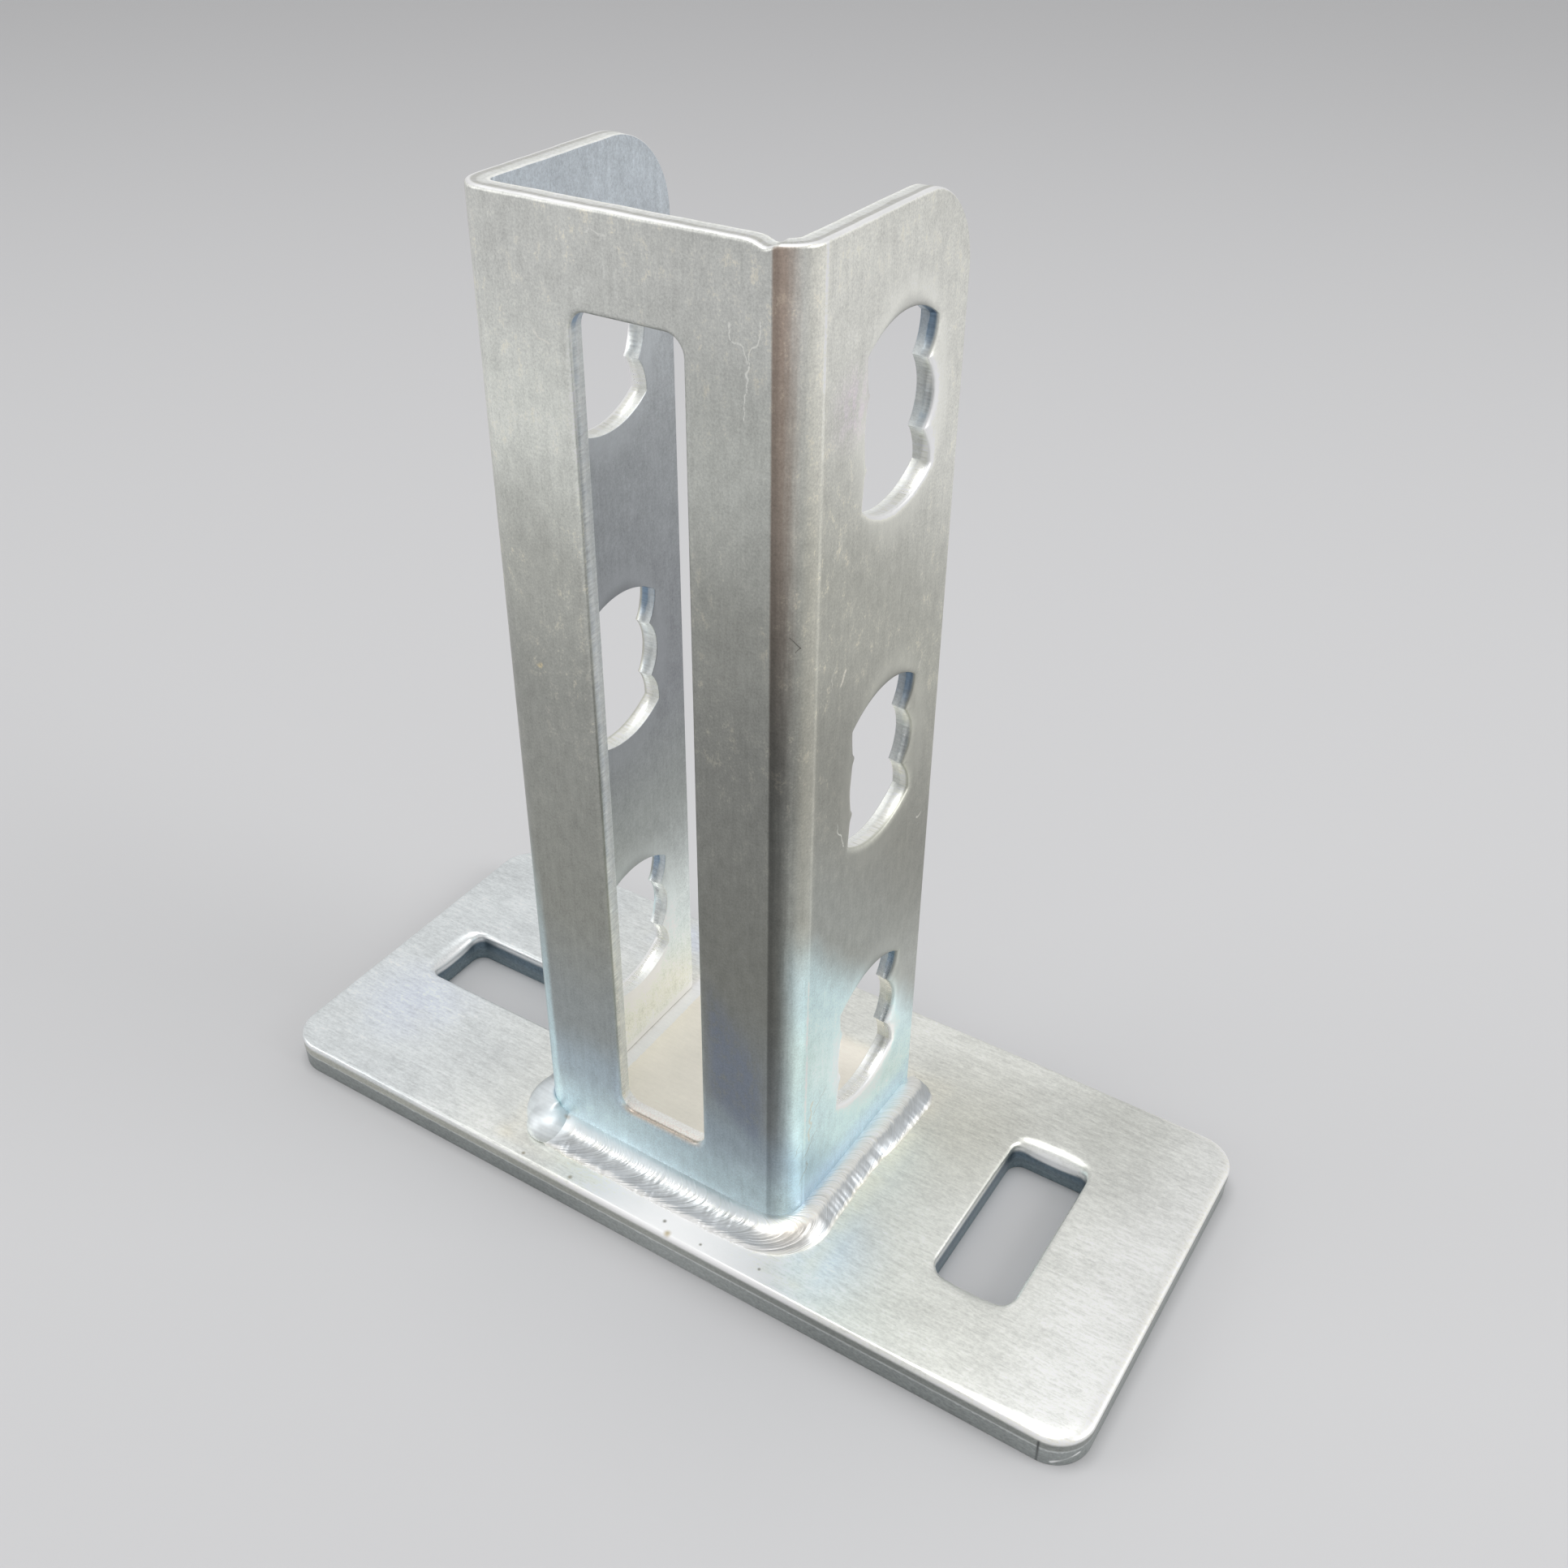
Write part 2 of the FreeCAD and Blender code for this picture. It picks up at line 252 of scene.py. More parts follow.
def hole_rim(outline, rows, turn_degrees, middle, into_hole=None):
    """A hole's rim, turned and moved to its middle, and run clockwise so that the metal is on its left."""
    turn = math.radians(turn_degrees)
    turned = np.array([[math.cos(turn), math.sin(turn)], [-math.sin(turn), math.cos(turn)]])
    rows = [tuple(np.flip(value) if np.ndim(value) else value for value in row) for row in rows]
    outline = (outline @ turned)[::-1]
    away = out_of_metal(outline) if into_hole is None else (into_hole @ turned)[::-1]
    return outline + middle, away, rows


plate_low, plate_high = (np.array(corner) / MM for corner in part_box("base_plate"))
plate_thickness = plate_high[2] - plate_low[2]
plate_corner_radius = 6.0
plate_edge_roll = 0.6
plate_end_roll = 2.6
plate_clean_cut = 2.6
plate_edge_tear = 0.15
slot_half_length = 15.0
slot_half_width = 6.5
slot_corner_radius = 2.0
slot_roll = 0.8
slot_clean_cut = 3.6
slot_tear = 0.35
end_dip_width = 2.0
end_dip_depth = 1.25
left_slot_middle = (-50.0, 0.0)
right_slot_middle = (50.0, -0.5)


def plate_slot(turn_degrees, middle, seed):
    """One punched slot, whose rounded edge is wider and deeper at its two ends."""
    half = np.array([slot_half_length, slot_half_width])
    outline = rounded_rectangle(-half, half, [slot_corner_radius] * 4, 0.4)
    at_end = np.clip(np.abs(outline[:, 0]) - (slot_half_length - slot_corner_radius), 0, 1)
    across = np.abs(outline[:, 1]) / slot_half_width
    width = slot_roll + end_dip_width * at_end * np.sqrt(np.clip(1 - (across / 0.93) ** 2, 0, 1))
    depth = slot_roll + end_dip_depth * at_end * (1 - across ** 2.6)
    rows = uneven_round(width, depth)
    rows += cut_rows(depth, slot_clean_cut, plate_thickness, slot_tear, outline, seed)
    return hole_rim(outline, rows, turn_degrees, middle)


def grid(x_places, y_places):
    return np.stack(np.meshgrid(x_places, y_places), 2).reshape(-1, 2)


# The edge's roll widens towards the right end of the bar.
wide_roll_from, wide_roll_run = 40, 30
plate_outline = rounded_rectangle(plate_low, plate_high, [plate_corner_radius] * 4, 0.6)
at_right_end = np.clip((plate_outline[:, 0] - wide_roll_from) / wide_roll_run, 0, 1) ** 2
roll_width = plate_edge_roll + (plate_end_roll - plate_edge_roll) * at_right_end
roll_depth = plate_edge_roll * (1 + 0.3 * at_right_end)
plate_edge = uneven_round(roll_width, roll_depth)
plate_edge += cut_rows(roll_depth, plate_clean_cut, plate_thickness, plate_edge_tear, plate_outline, 3)
plate_rims = [
    (plate_outline, out_of_metal(plate_outline), plate_edge),
    plate_slot(0, left_slot_middle, 11),
    plate_slot(90, right_slot_middle, 23),
]
base_plate = cut_blank(
    "slotted_plate",
    plate_rims,
    grid(np.arange(-73.5, 74, 3.0), np.arange(-31.5, 32, 3.0)),
    lambda places: places * (1, 1, -1) + (0, 0, plate_high[2]),
)


class Signal:
    """One output of a shader node, wrapped so that sums can be written with it."""

    def __init__(self, socket):
        self.socket = socket

    def node(self, kind, settings=None, inputs=None, output=0):
        """A new node of some type beside this one: its settings first, then what goes into its sockets."""
        made = self.socket.id_data.nodes.new(kind)
        for name, setting in (settings or {}).items():
            setattr(made, name, setting)
        for name, value in (inputs or {}).items():
            if isinstance(value, Signal):
                self.socket.id_data.links.new(value.socket, made.inputs[name])
            else:
                made.inputs[name].default_value = value
        return Signal(made.outputs[output])

    def math(self, operation, *values):
        return self.node("ShaderNodeMath", {"operation": operation}, dict(enumerate(values)))

    def at_least(self, other):
        return self.math("MAXIMUM", self, other)

    def at_most(self, other):
        return self.math("MINIMUM", self, other)

    def vector_math(self, operation, *values, output=0):
        return self.node("ShaderNodeVectorMath", {"operation": operation}, dict(enumerate(values)), output)

    def __add__(self, other):
        return self.math("ADD", self, other)

    def __sub__(self, other):
        return self.math("SUBTRACT", self, other)

    def __rsub__(self, other):
        return self.math("SUBTRACT", other, self)

    def __mul__(self, other):
        return self.math("MULTIPLY", self, other)

    def __abs__(self):
        return self.math("ABSOLUTE", self)

    __radd__ = __add__
    __rmul__ = __mul__

    def smooth(self, low, high):
        """From 0 at one value to 1 at another, which may be the lower."""
        limits = {"Value": self, "From Min": low, "From Max": high}
        return self.node("ShaderNodeMapRange", {"interpolation_type": "SMOOTHSTEP"}, limits)

    def times(self, vector):
        return self.vector_math("MULTIPLY", self, vector)

    def noise(self, stretch, detail, roughness=0.5):
        """Noise over this place, about 0.5, stretched by three scales."""
        sockets = {"Vector": self.times(stretch), "Scale": 1.0, "Detail": detail, "Roughness": roughness}
        return self.node("ShaderNodeTexNoise", {}, sockets)

    def part(self, axis):
        return self.node("ShaderNodeSeparateXYZ", {}, {0: self}, "XYZ".index(axis))

    def trait(self, name, output=2):
        """A value that the mesh itself carries, or with output 1 a place that it does."""
        return self.node("ShaderNodeAttribute", {"attribute_name": name}, {}, output)

    def near(self, spot, reach):
        """From 1 at a spot to 0 at this distance from it."""
        return self.vector_math("DISTANCE", self, spot, output=1).smooth(reach, 0)

    def on_line(self, start, end, half_width):
        """From 1 on the line between two spots to 0 at this distance beside it."""
        run = Vector(end) - Vector(start)
        past_start = self.vector_math("SUBTRACT", self, start)
        share = past_start.vector_math("DOT_PRODUCT", past_start, run / run.length_squared, output=1)
        share = share.at_least(0.0).at_most(1.0)
        nearest = share.node("ShaderNodeVectorMath", {"operation": "SCALE"}, {0: run, 3: share})
        return past_start.near(nearest, half_width)

    def mix(self, first, second):
        """One colour mixed into another by this share."""
        return self.node("ShaderNodeMix", {"data_type": "RGBA"}, {0: self, 6: first, 7: second}, 2)

    def ramp(self, stops):
        """A colour for this value: each stop is a value and the colour there."""
        colour = stops[0][1]
        for (low, _), (high, next_colour) in zip(stops, stops[1:]):
            colour = self.smooth(low, high).mix(colour, next_colour)
        return colour

    def lighten(self, colour):
        """A colour made lighter or darker by this factor, where 1 leaves it as it is."""
        grey = self.node("ShaderNodeCombineXYZ", {}, {0: self, 1: self, 2: self})
        settings = {"data_type": "RGBA", "blend_type": "MULTIPLY", "clamp_result": True}
        return self.node("ShaderNodeMix", settings, {0: 1.0, 6: colour, 7: grey}, 2)

    def relief(self, distance):
        """A bump from this height, as the way the surface faces."""
        return self.node("ShaderNodeBump", {}, {"Height": self, "Distance": distance * MM, "Strength": 1.0})

    def feed(self, surface, name):
        self.socket.id_data.links.new(self.socket, surface.inputs[name])


def new_steel(name):
    """A new metal finish: its material, its surface shader, and the place on it in millimetres."""
    material = bpy.data.materials.new(name)
    material.use_nodes = True
    surface = material.node_tree.nodes["Principled BSDF"]
    place = Signal(material.node_tree.nodes.new("ShaderNodeTexCoord").outputs["Object"])
    return material, surface, place.times((1 / MM, 1 / MM, 1 / MM))


mirrored_light = 0.66


def shade(red, green, blue):
    """The colour of metal that shows this shade, each part out of 255, in the light it mirrors here."""
    parts = [(part / 255) ** 2.2 / mirrored_light for part in (red, green, blue)]
    return (*(part / max(1.0, *parts) for part in parts), 1)


# Each speck of weld spatter or dirt on the plate: its place, its reach and its shade.
plate_specks = (
    ((-18.0, -25.2, 6), 0.9, (120, 110, 95)),
    ((-13.0, -31.3, 6), 0.6, (150, 145, 130)),
    ((4.8, -30.3, 6), 0.5, (110, 108, 100)),
    ((6.5, -32.0, 6), 0.9, (165, 155, 130)),
    ((12.0, -31.0, 6), 0.4, (120, 118, 110)),
    ((-22.5, -31.4, 6), 0.5, (140, 135, 120)),
    ((30.0, -26.7, 6), 0.3, (235, 235, 235)),
    ((22.0, -30.0, 6), 0.4, (130, 128, 120)),
)


def plate_finish():
    """Zinc over a ground bar: lines along it, clouds, tints beside the weld, a painted sheen in front of
    it, painted highlights on the rolled edges, and dull sheared walls, painted dark as shade in the slots.
    """
    material, surface, place = new_steel("zinc_plated_plate")
    cut, torn = place.trait("cut"), place.trait("torn")
    rolled, cut = cut.smooth(0, 0.5), cut.smooth(0.52, 0.9)
    x, y, z = (place.part(axis) for axis in "XYZ")
    clouds = place.noise((0.07, 0.1, 0.1), 3)
    lines = place.noise((0.35, 2.6, 2.6), 3, 0.65)
    specks = place.noise((1.6, 2.4, 2.4), 3, 0.7)
    top = (x + 14 * (clouds - 0.5)).smooth(-15, -60).mix(shade(204, 205, 200), shade(202, 206, 207))
    # Painted sheen: in front of the weld the plate is painted near white, lightened and made less metallic.
    sheen_before_weld = place.near((8, -35, 6), 30)
    colour = (sheen_before_weld * 1.3).mix(top, shade(255, 255, 250))
    bluish = (place.near((-62, -14, 6), 16) + place.near((-30, 26, 6), 14)) * clouds.smooth(0.4, 0.6)
    colour = (bluish * 0.7).mix(colour, shade(196, 202, 214))
    colour = (x + 10 * (clouds - 0.5)).smooth(52, 70).mix(colour, shade(222, 223, 220))
    colour = place.near((34, 12, 6), 22).mix(colour, shade(188, 188, 180))
    colour = (place.near((56, 24, 6), 20) * 0.8).mix(colour, shade(178, 179, 174))
    # Painted sheen: a bluish white spot to the right of the weld's corner.
    colour = (place.near((27, -22, 6), 14) * 0.8).mix(colour, shade(216, 226, 236))
    beside_weld = abs(x).smooth(31.0, 27.5) * y.smooth(-31.5, -29.5) * y.smooth(22, 18)
    beside_weld = beside_weld * (0.2 + 0.4 * clouds.smooth(0.4, 0.6))
    colour = beside_weld.mix(colour, shade(226, 221, 204))
    within = abs(x + 1.4).smooth(22, 20) * abs(y + 1).smooth(22, 19)
    colour = within.mix(colour, shade(250, 244, 232))
    inner_bead = within * (x + 0.8 * (specks - 0.5)).smooth(-19.5, -19.9)
    colour = inner_bead.mix(colour, shade(255, 255, 255))
    # Painted highlight: the rolled dips at the slots' ends are painted white and made less metallic.
    end_dip_highlights = rolled * (place.near((-66, 0, 5), 10) + place.near((50, 15.5, 5), 9))
    colour = end_dip_highlights.mix(colour, shade(255, 255, 255))
    # Painted highlight: the broad rolled edge at the right end is painted near white and made less
    # metallic.
    right_roll_highlight = rolled * x.smooth(50, 72)
    colour = (right_roll_highlight * 0.8).mix(colour, shade(255, 253, 243))
    fine = (0.46 * (lines - 0.5) + 0.5 * (specks - 0.5)) * (1.0 - 0.75 * within)
    # Painted highlight and sheen: rolled edges and the plate in front of the weld are lightened.
    level = 0.86 + 0.22 * clouds + fine + 0.1 * rolled + 0.3 * sheen_before_weld
    colour = level.lighten(colour)
    for spot, reach, stain in plate_specks:
        colour = place.near(spot, reach).mix(colour, shade(*stain))
    uneven_z = z + 0.7 * (specks - 0.5)
    upper_wall = x.smooth(-50, 30).mix(shade(160, 161, 153), shade(122, 125, 122))
    wall = uneven_z.smooth(3.55, 3.25).mix(upper_wall, shade(134, 138, 137))
    torn_line = uneven_z.smooth(3.0, 3.3) * uneven_z.smooth(3.7, 3.4)
    wall = (torn_line * 0.35).mix(wall, shade(215, 218, 218))
    wall = (0.35 + 0.9 * specks + 0.4 * lines).lighten(wall)
    corner_crease = place.on_line((69.2, -32.5, 0), (69.2, -32.5, 6), 0.35)
    wall = corner_crease.mix(wall, shade(70, 72, 72))
    corner_chip = place.on_line((71.2, -32.0, 0.8), (74.2, -29.4, 2.2), 0.4)
    wall = corner_chip.mix(wall, shade(250, 250, 250))
    # Painted shade: the walls inside the slots are painted dark slate, a little lighter low down.
    in_slot = abs(x).smooth(72, 71) * abs(y).smooth(24, 20)
    shaded_slot_wall = z.smooth(3.6, 1.2).mix(shade(92, 106, 116), shade(120, 132, 138))
    wall = in_slot.mix(wall, (0.4 + 1.1 * specks).lighten(shaded_slot_wall))
    colour = cut.mix(colour, wall)
    colour.feed(surface, "Base Color")
    roughness = 0.40 + 0.16 * (clouds - 0.5) + 0.16 * (lines - 0.5) + 0.2 * torn - 0.08 * rolled
    roughness.feed(surface, "Roughness")
    # Less metallic, so lighter: in front of the weld and on the rolled ends as painted sheen and highlight,
    # and inside the channel.
    less_metallic = (1.2 * sheen_before_weld).at_least(0.8 * within) + 0.6 * end_dip_highlights + 0.4 * right_roll_highlight
    (0.96 - 0.75 * less_metallic).feed(surface, "Metallic")
    torn_grain = torn * place.noise((1.5, 1.5, 0.8), 3, 0.7) * 2
    (lines * 0.5 + specks * 0.4 + torn_grain).relief(0.026).feed(surface, "Normal")
    return material


base_plate.data.materials.append(plate_finish())
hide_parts("base_plate")
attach(base_plate, "root")


# Channel: one steel sheet, blanked with rounded upper corners, punched with a long slot in its web and
# three scalloped slots in each flange, and folded. The punched edges are left as they came.
channel_low, channel_high = (np.array(corner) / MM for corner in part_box("channel"))
sheet = 3.0
bend_radius = 4.3
middle_x = (channel_low[0] + channel_high[0]) / 2
web_half = (channel_high[0] - channel_low[0]) / 2 - bend_radius
bend_run = bend_radius * math.pi / 2
bend_y = channel_low[1] + bend_radius
flange_run = channel_high[1] - bend_y
blank_half = web_half + bend_run + flange_run
foot, head = channel_low[2], channel_high[2]
flange_corner_radius = 12.0
foot_corner_radius = 0.9
sheet_edge_roll = 0.5
sheet_clean_cut = 1.35
sheet_tear = 0.1


def fold_up(places):
    """The blank folded into a U: its places are across, height and depth behind the outer face."""
    across, height, depth = places.T
    along = np.abs(across)
    turn = np.clip((along - web_half) / bend_radius, 0, math.pi / 2)
    radius = bend_radius - depth
    past_bend = np.clip(along - web_half - bend_run, 0, None)
    x = np.minimum(along, web_half) + radius * np.sin(turn)
    y = bend_y - radius * np.cos(turn) + past_bend
    return np.stack([middle_x + np.sign(across) * x, y, height], 1)


def set_back_by(extra, rows):
    return [(back + extra, depth, cut, torn) for back, depth, cut, torn in rows]


channel_outline = rounded_rectangle(
    (-blank_half, foot),
    (blank_half, head),
    (flange_corner_radius, flange_corner_radius, foot_corner_radius, foot_corner_radius),
    0.5,
)
on_head = np.clip((channel_outline[:, 1] - head) / 0.2 + 1, 0, 1)
nick_middle, nick_half_width, nick_depth = 18.6, 1.1, 0.55
head_wave = 0.05
nick = nick_depth * on_head * np.exp(-((channel_outline[:, 0] - nick_middle) / nick_half_width) ** 2)
wavy = head_wave * on_head * (1 + patchy(channel_outline, 3.0, 31))
channel_edge = quarter_round(sheet_edge_roll, sheet_edge_roll)
channel_edge += cut_rows(sheet_edge_roll, sheet_clean_cut, sheet, sheet_tear, channel_outline, 5)
channel_edge = set_back_by(nick + wavy, channel_edge)

web_slot_half_width = 8.0
web_slot_low, web_slot_high = 15.8, 144.0
web_slot_corner_radius = 2.5
web_slot_roll_width = 1.2
web_slot_roll_depth = 0.7
slot_clean_depth = 1.7


def web_slot():
    """The long punched slot, with an even rounded edge."""
    half = np.array([web_slot_half_width, (web_slot_high - web_slot_low) / 2])
    outline = rounded_rectangle(-half, half, [web_slot_corner_radius] * 4, 0.5)
    rows = quarter_round(web_slot_roll_width, web_slot_roll_depth)
    rows += cut_rows(web_slot_roll_depth, slot_clean_depth, sheet, sheet_tear, outline, 41)
    return hole_rim(outline, rows, 0, (0, web_slot_low + half[1]))


seat_radius = 6.75
seat_off_middle = 1.85
seat_pitch = 9.1
slot_half_height = 12.4
slot_end_radius = 14.0
slot_pitch = 50.0
flange_slot_heights = (31.0, 81.0, 131.0)
flange_slot_across = web_half + bend_run + 0.7 - bend_y
flange_roll_width = 1.3
flange_roll_depth = 0.42
seat_roll_width = 1.5
point_roll_width = 2.6
point_dip_reach = 2.2
web_side_dip = 1.25
free_side_dip = 0.7
flange_slot_tear = 0.16


def scalloped_outline(grow):
    """A slot grown all round by a distance: on each side three bolt seats run together, and over each
    end a shallow arc. Its height runs along X, and its points are as many at any growth."""
    seat, end = seat_radius + grow, slot_end_radius + grow
    point = np.array([seat_pitch / 2, seat_off_middle + math.sqrt(seat ** 2 - seat_pitch ** 2 / 4)])
    end_centre = slot_half_height - slot_end_radius
    apart = np.array([seat_pitch - end_centre, seat_off_middle])
    distance = float(np.linalg.norm(apart))
    along = (end ** 2 - seat ** 2 + distance ** 2) / (2 * distance)
    aside = math.sqrt(end ** 2 - along ** 2)
    aside_of_apart = np.array([-apart[1], apart[0]])
    corner = np.array([end_centre, 0]) + (along * apart + aside * aside_of_apart) / distance
    parts = []
    for side in (1, -1):
        stops = [corner * side, point * side, point * (-side, side), corner * (-side, side), -corner * side]
        centres = [
            (side * seat_pitch, side * seat_off_middle),
            (0, side * seat_off_middle),
            (-side * seat_pitch, side * seat_off_middle),
            (side * -end_centre, 0),
        ]
        for centre, start, stop, count in zip(centres, stops, stops[1:], (22, 28, 22, 36)):
            first, last = (math.atan2(spot[1] - centre[1], spot[0] - centre[0]) for spot in (start, stop))
            turn = first + (last - first) % (2 * math.pi) * np.arange(count) / count
            radius = np.linalg.norm(start - centre)
            parts.append(centre + radius * np.stack([np.cos(turn), np.sin(turn)], 1))
    return np.concatenate(parts)


def flange_slot(side, height, seed):
    """One punched slot. Its rounded edge is wider and deeper at the points between the seats, most so
    on the web's side, where each point is dragged down with the punch."""
    outline = scalloped_outline(0)
    into_hole = (outline - scalloped_outline(flange_roll_width)) / flange_roll_width
    point_y = seat_off_middle + math.sqrt(seat_radius ** 2 - seat_pitch ** 2 / 4)
    off_point = np.hypot(np.abs(outline[:, 0]) - seat_pitch / 2, np.abs(outline[:, 1]) - point_y)
    point = np.exp(-(off_point / point_dip_reach) ** 2)
    on_web_side = outline[:, 1] * side > 0
    dip = np.where(on_web_side, web_side_dip, free_side_dip)
    width = seat_roll_width + (point_roll_width - seat_roll_width) * point
    depth = flange_roll_depth + (dip - flange_roll_depth) * point
    rows = uneven_round(width, depth)
    rows += cut_rows(depth, slot_clean_depth, sheet, flange_slot_tear, outline, seed)
    return hole_rim(outline, rows, 90, (side * flange_slot_across, height), into_hole)


flange_slots = [
    flange_slot(side, height, 50 + 3 * row + 10 * side)
    for row, height in enumerate(flange_slot_heights) for side in (-1, 1)
]
flat_step = 2.4
columns = np.concatenate([
    np.arange(0.0, web_half, flat_step),
    np.linspace(web_half, web_half + bend_run, 17),
    np.arange(web_half + bend_run + flat_step, blank_half, flat_step),
])
columns = np.unique(np.round(np.concatenate([columns, -columns]), 6))
channel = cut_blank(
    "folded_channel",
    [(channel_outline, out_of_metal(channel_outline), channel_edge), web_slot(), *flange_slots],
    grid(columns, np.arange(foot + flat_step / 2, head, flat_step)),
    fold_up,
)


# Each scratch or scuff on the channel: where it runs from and to on the flat blank, half its width,
# and its shade.
channel_scratches = (
    ((14.6, 146.6), (16.6, 142.6), 0.14, (225, 225, 220)),
    ((18.6, 147.4), (16.6, 142.6), 0.14, (225, 225, 220)),
    ((16.6, 142.6), (16.4, 136.2), 0.12, (215, 215, 210)),
    ((-12.8, 140.5), (-10.6, 139.7), 0.16, (232, 230, 222)),
    ((-4.4, 153.3), (-1.6, 153.3), 0.16, (235, 235, 230)),
    ((22.3, 110.1), (23.9, 108.7), 0.16, (60, 58, 55)),
    ((22.9, 107.8), (23.9, 108.7), 0.14, (60, 58, 55)),
    ((29.6, 22.8), (26.2, 19.6), 0.13, (125, 118, 105)),
    ((27.0, 17.6), (25.2, 14.3), 0.13, (125, 118, 105)),
    ((32.5, 29.3), (28.3, 26.6), 0.12, (135, 128, 115)),
    ((27.9, 29.5), (27.3, 22.0), 0.3, (185, 178, 160)),
    ((24.0, 21.5), (25.5, 23.5), 0.12, (130, 135, 132)),
    ((54.7, 138.1), (58.5, 138.9), 0.13, (240, 240, 235)),
    ((58.5, 138.9), (60.0, 138.4), 0.13, (240, 240, 235)),
    ((32.5, 77.5), (34.5, 73.1), 0.14, (225, 225, 218)),
    ((56.6, 64.7), (57.5, 65.0), 0.16, (230, 228, 220)),
    ((30.5, 103.0), (29.5, 100.0), 0.14, (190, 188, 180)),
    ((32.4, 99.8), (32.8, 100.8), 0.35, (215, 210, 198)),
    ((53.5, 91.1), (53.7, 91.9), 0.2, (225, 222, 212)),
    ((-16.6, 94.6), (-16.4, 95.0), 0.55, (205, 190, 150)),
)
scratch_spread = 1.3


def channel_finish():
    """Zinc over cold-rolled sheet: mottled faces toned by height as painted reflection and shade, a painted
    dark stripe of reflection and a painted light strip at the bends, heat tints by the weld, painted
    highlights on the rolled rims, and cut walls painted lighter where they face up and darker bluish where
    they face down."""
    material, surface, place = new_steel("zinc_plated_sheet")
    flat = place.trait("flat", 1)
    across, height, depth = (flat.part(axis) for axis in "XYZ")
    cut, torn, faces_up = (place.trait(name) for name in ("cut", "torn", "faces_up"))
    rolled, cut = cut.smooth(0, 0.5), cut.smooth(0.52, 0.9)
    clouds = flat.noise((0.09, 0.06, 0.1), 4, 0.6)
    mottle = flat.noise((0.6, 0.35, 0.5), 5, 0.7)
    streaks = flat.noise((1.8, 0.09, 1.5), 3, 0.6)
    specks = flat.noise((3.6, 2.8, 2.8), 3, 0.75)
    off_middle = abs(across)
    # Painted reflection and shade: the web and the flanges are painted darker at mid height and lighter
    # towards the head; near the foot the teal and blue are heat tints by the weld, lightened as painted
    # reflection of the plate.
    web = (height + 9 * (clouds - 0.5)).ramp([
        (12, shade(180, 198, 204)), (20, shade(152, 165, 173)), (31, shade(136, 141, 141)),
        (55, shade(134, 135, 129)), (90, shade(143, 144, 139)), (108, shade(163, 164, 158)),
        (130, shade(200, 202, 196)), (150, shade(188, 189, 185)),
    ])
    slanted = height + (1.0 - 0.3 * height.smooth(60, 110)) * (off_middle - 31) + 7 * (clouds - 0.5)
    flange = slanted.ramp([
        (12, shade(148, 170, 180)), (22, shade(180, 201, 204)), (34, shade(215, 236, 234)),
        (47, shade(190, 210, 214)), (60, shade(146, 148, 143)), (85, shade(136, 136, 129)),
        (112, shade(160, 160, 152)), (145, shade(199, 199, 193)),
    ])
    round_bend = off_middle.smooth(20.5, 25.5)
    colour = round_bend.mix(web, flange)
    # Painted shade: the web's right half is darker, less so near the head.
    shaded_right_of_web = across.smooth(-12, 12) * (1.0 - round_bend)
    level = 1.0 - 0.30 * shaded_right_of_web * (1.0 - 0.7 * height.smooth(136, 150))
    left_foot = across.smooth(0, -10) * height.smooth(48, 40) * height.smooth(12, 20)
    level = level * (1.0 - 0.04 * left_foot)
    # Painted reflection: a dark stripe down the right bend, with a darker core, stands for dark
    # surroundings mirrored there; it is darkest at mid height and fades towards the head.
    uneven = across + 1.2 * (streaks - 0.5) + 0.5 * (mottle - 0.5)
    dark_reflection_band = across.smooth(19.5, 19.9) * uneven.smooth(23.6, 20.6)
    dark = 0.1 + 0.28 * height.smooth(12, 45) + 0.18 * height.smooth(55, 90) - 0.5 * height.smooth(98, 140)
    level = level * (1.0 - dark_reflection_band * dark) * (1.0 - 0.2 * dark_reflection_band * across.smooth(20.8, 20.2))
    # Painted reflection: a lighter stripe beside the dark one, below mid height.
    lit_beside_band = uneven.smooth(20.8, 22.6) * uneven.smooth(24.6, 23.0)
    level = level * (1.0 + 0.22 * lit_beside_band * height.smooth(88, 72))
    # Painted highlight: a light cream strip at the end of each bend, above the foot, with a brighter line
    # along its edge.
    painted_light_strip = off_middle.smooth(22.7, 24.4) * off_middle.smooth(27.6, 25.2) * height.smooth(48, 66)
    colour = (painted_light_strip * 0.2).mix(colour, shade(214, 210, 194))
    strip_edge_highlight = off_middle.smooth(25.7, 26.1) * off_middle.smooth(26.6, 26.3)
    level = level * (1.0 + 0.02 * painted_light_strip + 0.2 * strip_edge_highlight)
    # Painted shade: the end of each bend is darker above the foot.
    shaded_end_of_bend = off_middle.smooth(22.4, 23.4) * off_middle.smooth(26, 24.2)
    level = level * (1.0 - 0.14 * shaded_end_of_bend * height.smooth(26, 38))
    # Painted highlight: rolled rims are lightened, most where they face up.
    level = level * (1.0 + 0.16 * rolled) * (1.0 + 0.5 * rolled * faces_up)
    inner = depth.smooth(2.6, 3.0)
    # Painted shade: the inner faces are darker between the foot and the head.
    level = level * (1.0 - 0.15 * inner * height.smooth(30, 60) * height.smooth(130, 110))
    up_blank = height - (flange_slot_heights[0] - slot_pitch / 2)
    above_slot = up_blank.math("WRAP", up_blank, slot_pitch, 0.0) - slot_pitch / 2
    slot_half_width_here = seat_radius + seat_off_middle
    beside_slot = (off_middle - flange_slot_across) * (1 / slot_half_width_here)
    above_slot_share = above_slot * (1 / slot_half_height)
    off_slot = height.node("ShaderNodeCombineXYZ", {}, {0: beside_slot, 1: above_slot_share})
    off_slot = off_slot.vector_math("LENGTH", off_slot, output=1)
